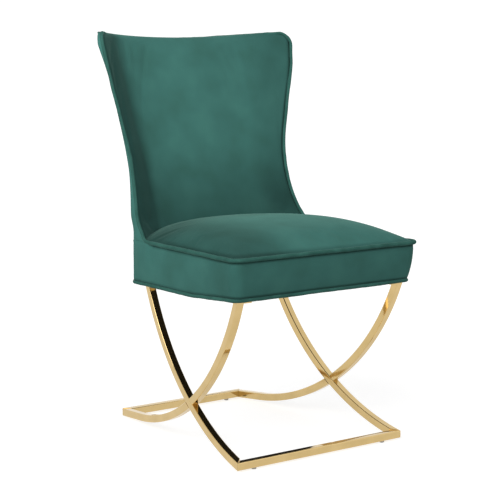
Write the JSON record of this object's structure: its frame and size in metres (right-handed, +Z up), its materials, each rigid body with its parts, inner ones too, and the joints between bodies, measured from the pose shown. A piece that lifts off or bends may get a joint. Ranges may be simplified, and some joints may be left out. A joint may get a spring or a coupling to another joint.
{
  "type": "dining chair",
  "caption": "Winged velvet dining chair with piped cushions and a polished gold base of crossed, curved square tubes.",
  "frame": {"origin": "centre of the outline's box, on the floor under the nylon feet", "axes": "+X across the seat, towards the right of someone who faces the chair from the front; the front of the seat faces -Y; +Z up"},
  "size_m": [0.5626, 0.6516, 0.9569],
  "materials": {
    "gold": "polished gold plating on steel tube",
    "zinc": "dull bright zinc plating",
    "velvet": "short-pile green velvet",
    "piping": "cord covered in the same green velvet",
    "wood": "sanded birch, unfinished",
    "foam": "open-cell cushion foam",
    "wadding": "white polyester fibre",
    "webbing": "elastic upholstery strap",
    "dust": "black spunbond cloth",
    "plastic": "black nylon"
  },
  "bodies": {
    "root": {"back_foam": "foam", "back_lower_rail": "wood", "back_post_left": "wood", "back_post_right": "wood", "back_side_band_left": "velvet", "back_side_band_right": "velvet", "back_top_band": "velvet", "back_top_rail": "wood", "back_web_1": "webbing", "back_web_2": "webbing", "back_web_3": "webbing", "back_welt": "piping", "base_front_rail": "gold", "base_rear_rail": "gold", "dust_cover": "dust", "glide_front_left": "plastic", "glide_front_right": "plastic", "glide_rear_left": "plastic", "glide_rear_right": "plastic", "inside_back_cover": "velvet", "leg_bar_long_left": "gold", "leg_bar_long_right": "gold", "leg_bar_lower_left": "gold", "leg_bar_lower_right": "gold", "leg_bar_upper_left": "gold", "leg_bar_upper_right": "gold", "mounting_plate_front_left": "gold", "mounting_plate_front_right": "gold", "mounting_plate_rear_left": "gold", "mounting_plate_rear_right": "gold", "mounting_screw_front_left_1": "zinc", "mounting_screw_front_left_2": "zinc", "mounting_screw_front_right_1": "zinc", "mounting_screw_front_right_2": "zinc", "mounting_screw_rear_left_1": "zinc", "mounting_screw_rear_left_2": "zinc", "mounting_screw_rear_right_1": "zinc", "mounting_screw_rear_right_2": "zinc", "outside_back_cover": "velvet", "seat_bearer_front": "wood", "seat_bearer_rear": "wood", "seat_border": "velvet", "seat_foam": "foam", "seat_lower_welt": "piping", "seat_rail_front": "wood", "seat_rail_left": "wood", "seat_rail_rear": "wood", "seat_rail_right": "wood", "seat_top_cover": "velvet", "seat_upper_welt": "piping", "seat_wadding": "wadding", "seat_web_across_1": "webbing", "seat_web_across_2": "webbing", "seat_web_across_3": "webbing", "seat_web_along_1": "webbing", "seat_web_along_2": "webbing", "seat_web_along_3": "webbing", "seat_web_along_4": "webbing"}
  },
  "joints": []
}
